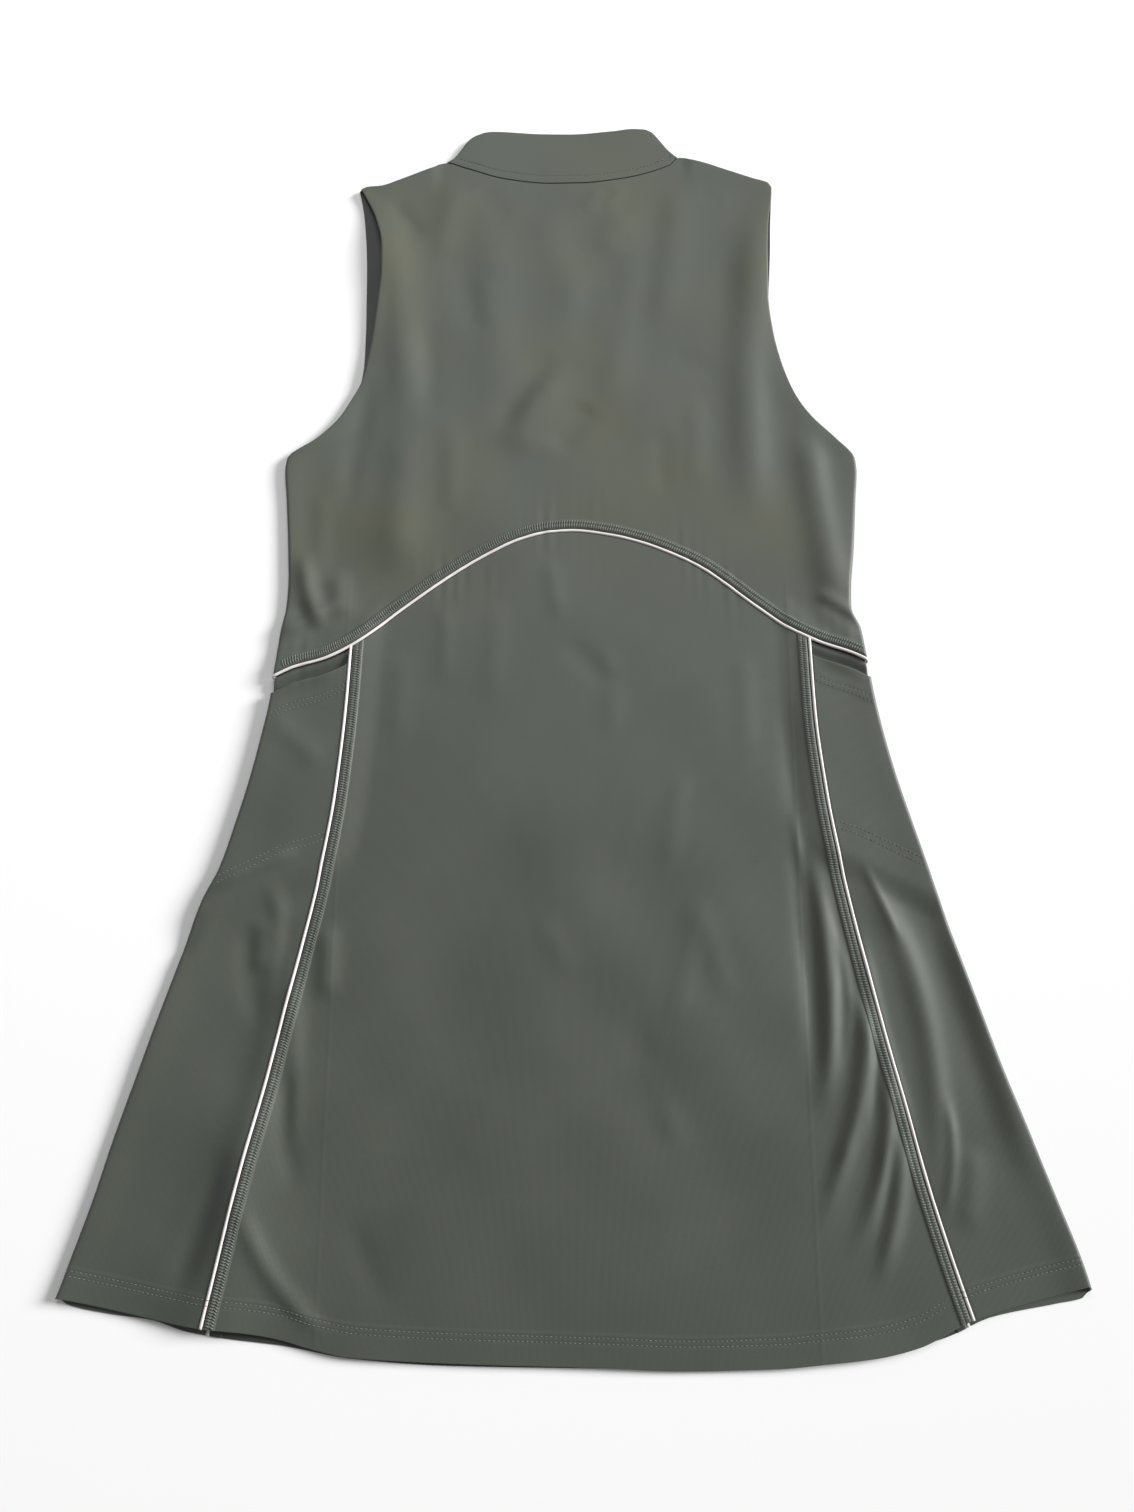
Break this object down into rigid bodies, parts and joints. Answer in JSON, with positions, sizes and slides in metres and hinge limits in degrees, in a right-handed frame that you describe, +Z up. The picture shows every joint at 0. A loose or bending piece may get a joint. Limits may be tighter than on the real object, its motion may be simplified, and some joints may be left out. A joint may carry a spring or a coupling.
{
  "type": "piped dress",
  "caption": "Sleeveless stand-collar dress laid flat, back up, with a corded arched waist seam, corded vertical skirt seams and wrapped side panels with pockets.",
  "frame": {"origin": "on the surface the dress lies on, under the middle of its outline", "axes": "+Y from the hem towards the collar, +Z up out of the back, +X to the right as seen from above"},
  "size_m": [0.6816, 0.9505, 0.0123],
  "materials": {
    "cloth": "smooth grey-green double knit with a soft sheen",
    "pocket_cloth": "the same knit, matt",
    "piping": "off-white woven satin over a cord"
  },
  "bodies": {
    "root": {"back_bodice": "cloth", "front_bodice": "cloth", "collar": "cloth", "back_skirt": "cloth", "front_skirt": "cloth", "side_panel_left": "cloth", "side_panel_right": "cloth", "pocket_backing_left": "pocket_cloth", "pocket_backing_right": "pocket_cloth", "waist_piping": "piping", "back_piping_left": "piping", "back_piping_right": "piping", "front_piping_left": "piping", "front_piping_right": "piping"}
  },
  "joints": []
}
